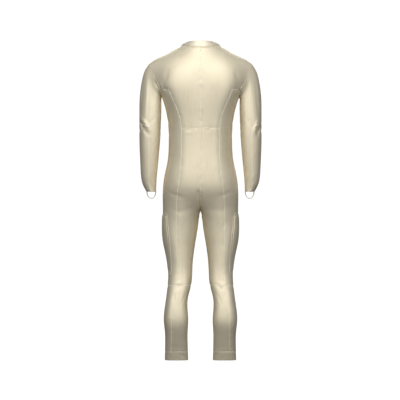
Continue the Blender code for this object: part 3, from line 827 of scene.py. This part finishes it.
for seam in sorted(ZIP_EDGES):
    for run in chains_of([key for key, name in seam_edges.items() if name == seam]):
        for distance in ZIP_ROWS:
            line = moved_aside(skin_points[run], skin_normals[run], distance)
            if np.abs(line[0][:, 0]).mean() > np.abs(skin_points[run][:, 0]).mean():
                stitch_lines.append(line)
stitches = stitch_rows(stitch_lines, "hem_stitches")
finish_piece(stitches, "suit", "cloth")
stitch_count = len(stitches.data.polygons) // len(LENS_FACES)
print("hem runs:", len(hem_runs), "stitch lines:", len(stitch_lines), "stitches:", stitch_count)

# %% [markdown]
# ## Panels again, as thin shells
# The smooth surface is cut into its panels by the marker materials, and Solidify gives each one the
# cloth's thickness towards the inside, where the wearer was. The collar is two plies.

# %% Cut the skin into its panels
select_only(skin)
bpy.ops.mesh.separate(type="MATERIAL")
panels = {}
for obj in list(bpy.context.selected_objects):
    node_name = obj.material_slots[obj.data.polygons[0].material_index].name
    panels[node_name] = obj
ONE_PLY, COLLAR_PLIES = 1.3, 2.2
# The flat cut of each panel, width and length in metres. The knit is cut smaller than the wearer and
# stretches when it is worn. The cut is looked up for each panel, and nothing further is done with it.
CUT = {
    "back_upper": (0.23, 0.41),
    "seat_back": (0.17, 0.72),
    "side": (0.26, 0.86),
    "front": (0.21, 1.02),
    "calf_outer": (0.18, 0.3),
    "calf_inner": (0.19, 0.32),
    "ankle_band": (0.37, 0.032),
    "sleeve": (0.3, 0.52),
    "forearm_panel": (0.14, 0.32),
    "collar": (0.36, 0.045),
    "zip_tape": (0.0115, 0.63),
}
for node_name, obj in sorted(panels.items()):
    obj.name = f"cloth_{node_name}"
    obj.data.materials.clear()
    is_collar, is_tape = node_name == "collar", "zip_tape" in node_name
    obj.data.materials.append(collar_cloth if is_collar else woven_tape if is_tape else cloth)
    wall = obj.modifiers.new("Cloth thickness", "SOLIDIFY")
    wall.thickness = (COLLAR_PLIES if is_collar else ONE_PLY) * MM
    wall.offset = -1
    select_only(obj)
    bpy.ops.object.modifier_apply(modifier="Cloth thickness")
    bpy.ops.object.shade_smooth_by_angle(angle=math.radians(50))
    finish_piece(obj, "suit", "zip_tape" if is_tape else "cloth", node_name)
    width, length = CUT[node_name.removesuffix("_L").removesuffix("_R")]

# %% [markdown]
# ## Thigh panels
# On the outside of each thigh lies a second panel, sewn on all round and a few millimetres proud. Its
# sheet comes from the CAD panel. Its edge rolls down to the cloth in four steps, and it gets thinner
# towards its lower end. A line of thread runs round it on the cloth, 11 mm outside its edge.

# %% Raise the thigh panels
PAD_LINE = 11
PAD_WALL, PAD_CUT, PAD_EASE = 0.9 * MM, (0.19, 0.27), 1.1
# How far the pad's edge is pressed down in mm, and how far in that reaches in metres
EDGE_PRESS, EDGE_REACH = 2.1, 0.011
# How much thinner the pad gets at its lower end in mm, over what length in metres and by what power,
# and the most that both may take in mm
END_PRESS, END_REACH, END_CURVE, MOST_PRESS = 2.4, 0.19, 1.2, 4.2
# The rolled edge's steps, each with how far it goes down and out in mm
ROLL_STEPS = ((0.4, 1.0), (0.9, 1.3), (1.1, 1.2), (0.9, 0.8))
pad_lines = []


def open_edges(mesh):
    """The edges that belong to one face only, each with that face."""
    found = {}
    for face in mesh.polygons:
        for key in face.edge_keys:
            found.setdefault(key, []).append(face)
    return {key: faces[0] for key, faces in found.items() if len(faces) == 1}


for letter in "LR":
    node_name = f"thigh_panel_{letter}"
    pad = outer_sheet(node_name)
    smooth_through(pad, 2)
    pad_points, pad_normals = read_points(pad.data), read_normals(pad.data)
    to_bottom = np.clip(1 - (pad_points[:, 2] - pad_points[:, 2].min()) / END_REACH, 0, 1)
    border_edges = list(open_edges(pad.data))
    border = sorted({point for key in border_edges for point in key})
    border_tree = KDTree(len(border))
    for place, point in enumerate(border):
        border_tree.insert(pad_points[point], place)
    border_tree.balance()
    pad_middle = pad_points.mean(axis=0)
    for run in chains_of(border_edges):
        lines = [moved_aside(pad_points[run], pad_normals[run], side * PAD_LINE) for side in (-1, 1)]
        pad_lines.append(max(lines, key=lambda line: np.linalg.norm(line[0] - pad_middle, axis=1).mean()))
    to_edge = np.array([math.exp(-((border_tree.find(point)[2] / EDGE_REACH) ** 2)) for point in pad_points])
    thinner = np.minimum(EDGE_PRESS * to_edge + END_PRESS * to_bottom**END_CURVE, MOST_PRESS)
    write_points(pad.data, pad_points - pad_normals * thinner[:, None] * MM)
    select_only(pad)
    for drop, reach in ROLL_STEPS:
        flat_points, flat_normals = read_points(pad.data), read_normals(pad.data)
        outward_of = {}
        for key, face in open_edges(pad.data).items():
            middle = (flat_points[key[0]] + flat_points[key[1]]) / 2
            push = middle - np.array(face.center)
            edge = flat_points[key[1]] - flat_points[key[0]]
            push -= edge * (push @ edge) / (edge @ edge)
            push -= np.array(face.normal) * (push @ np.array(face.normal))
            for point in key:
                outward_of[point] = outward_of.get(point, 0) + push / np.linalg.norm(push)
        before = len(pad.data.vertices)
        bpy.ops.object.mode_set(mode="EDIT")
        bpy.ops.mesh.select_mode(type="EDGE")
        bpy.ops.mesh.select_all(action="DESELECT")
        bpy.ops.mesh.select_non_manifold(extend=False)
        bpy.ops.mesh.extrude_edges_move()
        bpy.ops.object.mode_set(mode="OBJECT")
        grown = read_points(pad.data)
        lookup = KDTree(before)
        for index in range(before):
            lookup.insert(flat_points[index], index)
        lookup.balance()
        for index in range(before, len(grown)):
            twin = lookup.find(grown[index])[1]
            away = outward_of[twin] / np.linalg.norm(outward_of[twin])
            grown[index] += (away * reach - flat_normals[twin] * drop) * MM
        write_points(pad.data, grown)
    pad.name = f"thigh_pad_{letter}"
    pad.data.materials.clear()
    pad.data.materials.append(cloth)
    wall = pad.modifiers.new("Cloth thickness", "SOLIDIFY")
    wall.thickness = PAD_WALL
    wall.offset = -1
    select_only(pad)
    bpy.ops.object.modifier_apply(modifier="Cloth thickness")
    bpy.ops.object.shade_smooth_by_angle(angle=math.radians(60))
    finish_piece(pad, "suit", "cloth", node_name)
pad_seams = sweep(pad_lines, FLATLOCK, "thigh_pad_seams", seam_thread)
finish_piece(pad_seams, "suit", "cloth")

# %% [markdown]
# ## Finger loops
# A narrow elastic loop under each cuff goes round a finger, so that the sleeve can't ride up. Its ends
# are sewn inside the cuff. It is a woven tape with a soft oval section.

# %% Sweep the finger loops
TAPE = ((-2.2, 0.0), (-1.8, 0.6), (0.0, 0.8), (1.8, 0.6), (2.2, 0.0), (1.8, -0.6), (0.0, -0.8), (-1.8, -0.6))
TAPE_HALF = 2.25 * MM
for letter in "LR":
    low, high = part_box(f"finger_loop_{letter}")
    middle, depth = (low.x + high.x) / 2, (low.y + high.y) / 2
    half = (high.x - low.x) / 2 - TAPE_HALF
    drop = high.z - low.z - TAPE_HALF
    turn = np.linspace(0, math.pi, 41)
    x, z = half * np.cos(turn), -drop * np.sin(turn) + high.z
    rise = np.linspace(12, 1, 6) * MM + high.z
    x = np.concatenate([np.full(6, half - 1.2 * MM), x, np.full(6, -half + 1.2 * MM)])
    z = np.concatenate([rise, z, rise[::-1]])
    path = np.stack([middle + x, np.full(len(x), depth), z], axis=1)
    facing = np.tile((0.0, 1.0, 0.0), (len(path), 1))
    loop = sweep([(path, facing)], TAPE, f"elastic_loop_{letter}", elastic)
    finish_piece(loop, "suit", "elastic", f"finger_loop_{letter}")
print("finger loops: 2")

# %% [markdown]
# ## The zip
# The front closes with a moulded zip. Teeth 2 mm apart sit on the edges of the two tapes and mesh down
# the middle. One tooth is modelled and copied down the line that a ray finds on the tapes.

# %% Teeth
# From one tooth to the next one, which sits on the other tape
TOOTH_STEP = 1.05 * MM
tape_low, tape_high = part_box("zip_tape_L")
TOOTH = np.array(
    [(-1.9, -0.55, -0.5), (1.1, -0.55, -0.5), (1.1, -0.55, 0.5), (-1.9, -0.55, 0.5),
     (-1.9, 0.75, -0.5), (1.1, 0.75, -0.5), (1.1, 0.75, 0.5), (-1.9, 0.75, 0.5),
     (1.7, -0.45, -0.62), (1.7, -0.45, 0.62), (1.7, 0.65, -0.62), (1.7, 0.65, 0.62)]
)
TOOTH_FACES = ((0, 4, 5, 1), (2, 6, 7, 3), (0, 3, 7, 4), (0, 1, 2, 3), (4, 7, 6, 5),
               (1, 5, 10, 8), (2, 9, 11, 6), (1, 8, 9, 2), (5, 6, 11, 10), (8, 10, 11, 9))
teeth_points, teeth_faces = [], []
height = tape_high.z - 4 * MM
row = 0
while height > tape_low.z + 6 * MM:
    side = 1 if row % 2 else -1
    start = Vector((side * 2.0 * MM, -FAR, height))
    place, normal, _, _ = surface_tree.ray_cast(start, Vector((0, 1, 0)))
    up = np.array((0, normal.y, normal.z))
    up /= np.linalg.norm(up)
    down = np.array((0, up[2], -up[1]))
    base = len(teeth_points)
    for x, out, along in TOOTH:
        spot = np.array((-side * x * MM, place.y, place.z)) + up * out * MM + down * along * MM
        teeth_points.append(spot)
    teeth_faces += [tuple(base + corner for corner in face) for face in TOOTH_FACES]
    row += 1
    height -= TOOTH_STEP * abs(up[1])
teeth = mesh_object("zip_teeth", teeth_points, teeth_faces)
select_only(teeth)
bpy.ops.object.mode_set(mode="EDIT")
bpy.ops.mesh.select_all(action="SELECT")
bpy.ops.mesh.normals_make_consistent(inside=False)
bpy.ops.object.mode_set(mode="OBJECT")
teeth.data.materials.append(zip_plastic)
# A stop closes each end of the rows of teeth: one moulded block that clamps both tapes
STOPS = (
    ("zip_bottom_stop", tape_low.z + 3 * MM, 5.5),
    ("zip_top_stop", tape_high.z - 1.6 * MM, 2.6),
)
STOP_WIDTH, STOP_DEPTH = 5.2, 2.6
for name, height, length in STOPS:
    place, normal, _, _ = surface_tree.ray_cast(Vector((1.5 * MM, -FAR, height)), Vector((0, 1, 0)))
    bpy.ops.mesh.primitive_cube_add(size=1, location=(0, place.y, place.z))
    stop = bpy.context.active_object
    stop.name = name
    stop.scale = (STOP_WIDTH * MM, STOP_DEPTH * MM, length * MM)
    stop.rotation_euler.x = -math.atan2(normal.z, -normal.y)
    bpy.ops.object.transform_apply(location=True, rotation=True, scale=True)
    edges = stop.modifiers.new("Moulded edges", "BEVEL")
    edges.width, edges.segments = 0.5 * MM, 2
    bpy.ops.object.modifier_apply(modifier="Moulded edges")
    bpy.ops.object.shade_smooth_by_angle(angle=math.radians(40))
    stop.data.materials.append(zip_plastic)
    finish_piece(stop, "suit", "zip_tape")
finish_piece(teeth, "suit", "zip_tape")
for name in ("zip_slider", "zip_pull_tab"):
    nodes[name].data.materials.clear()
    nodes[name].data.materials.append(metal)
print("teeth:", row)

# %% [markdown]
# ## Camera, light and floor
# The photograph is taken straight on from behind with a long lens. The light is soft and comes from the
# camera's side and from above, with little from the sides, which is what leaves the edges darker. One
# weaker light stands in front of the wearer, so that the hidden side can be looked at too.

# %% Camera
PICTURE, MARGIN = 400, 1.007
camera_data = bpy.data.cameras.new("camera")
camera_data.lens, camera_data.sensor_width = 200, 36
distance = PICTURE * PIXEL * camera_data.lens / camera_data.sensor_width * MARGIN
camera = bpy.data.objects.new("camera", camera_data)
camera.location = ((MIDDLE_COLUMN - PICTURE / 2) * PIXEL, distance, (ORIGIN_ROW - PICTURE / 2) * PIXEL)
camera.rotation_euler = (math.radians(90), 0, math.radians(180))
bpy.context.scene.collection.objects.link(camera)
bpy.context.scene.camera = camera

# %% Lights


def area_light(name, place, target, size, power):
    data = bpy.data.lights.new(name, "AREA")
    data.shape = "DISK"
    data.size, data.energy = size, power
    light = bpy.data.objects.new(name, data)
    light.location = place
    light.rotation_euler = (Vector(target) - Vector(place)).to_track_quat("-Z", "Y").to_euler()
    bpy.context.scene.collection.objects.link(light)


SUIT_MIDDLE, LIGHT_SIZE = (0, 0, -0.7), 5.0
area_light("key_behind_left", (4.2, 12.0, 8.3), SUIT_MIDDLE, LIGHT_SIZE, 1080)
area_light("key_behind_right", (-4.2, 12.0, 8.3), SUIT_MIDDLE, LIGHT_SIZE, 1080)
area_light("key_front", (0.0, -9.0, 10.0), SUIT_MIDDLE, LIGHT_SIZE, 900)

world = bpy.data.worlds.new("studio")
bpy.context.scene.world = world
world.use_nodes = True
sky = world.node_tree
sky.nodes.clear()
seen = add_node(sky, "ShaderNodeLightPath")
dim = add_node(sky, "ShaderNodeBackground", {"Color": colour("#EEF2FF"), "Strength": 0.17})
white = add_node(sky, "ShaderNodeBackground", {"Color": colour("#FFFFFF"), "Strength": 1.05})
pick = add_node(sky, "ShaderNodeMixShader", {0: seen.outputs["Is Camera Ray"]})
sky.links.new(dim.outputs[0], pick.inputs[1])
sky.links.new(white.outputs[0], pick.inputs[2])
add_node(sky, "ShaderNodeOutputWorld", {"Surface": pick.outputs[0]})

# %% Floor
FLOOR_SIZE, FLOOR_GAP = 16, 8 * MM
bpy.ops.mesh.primitive_plane_add(size=FLOOR_SIZE, location=(0, 0, cad_box[0][2] - FLOOR_GAP))
floor = bpy.context.active_object
floor.name = "floor"
floor_material, floor_tree, floor_shader = start_material(
    "pale_floor", Base_Color=colour("#4A4A4A"), Roughness=0.9
)
floor_seen = add_node(floor_tree, "ShaderNodeLightPath")
glow = {"Color": colour("#FFFFFF"), "Strength": floor_seen.outputs["Is Camera Ray"]}
floor_glow = add_node(floor_tree, "ShaderNodeEmission", glow)
floor_both = add_node(floor_tree, "ShaderNodeAddShader")
floor_tree.links.new(floor_shader.outputs["BSDF"], floor_both.inputs[0])
floor_tree.links.new(floor_glow.outputs[0], floor_both.inputs[1])
floor_out = next(node for node in floor_tree.nodes if node.type == "OUTPUT_MATERIAL")
floor_tree.links.new(floor_both.outputs[0], floor_out.inputs["Surface"])
floor.data.materials.append(floor_material)
bpy.context.scene.view_settings.view_transform = "Standard"

# %% [markdown]
# ## The CAD box
# The CAD model's box, taken before anything was changed, is printed. The dressed suit has to
# keep the CAD model's size.

# %% The CAD model's size
print("CAD box", [tuple(round(v, 4) for v in c) for c in cad_box])
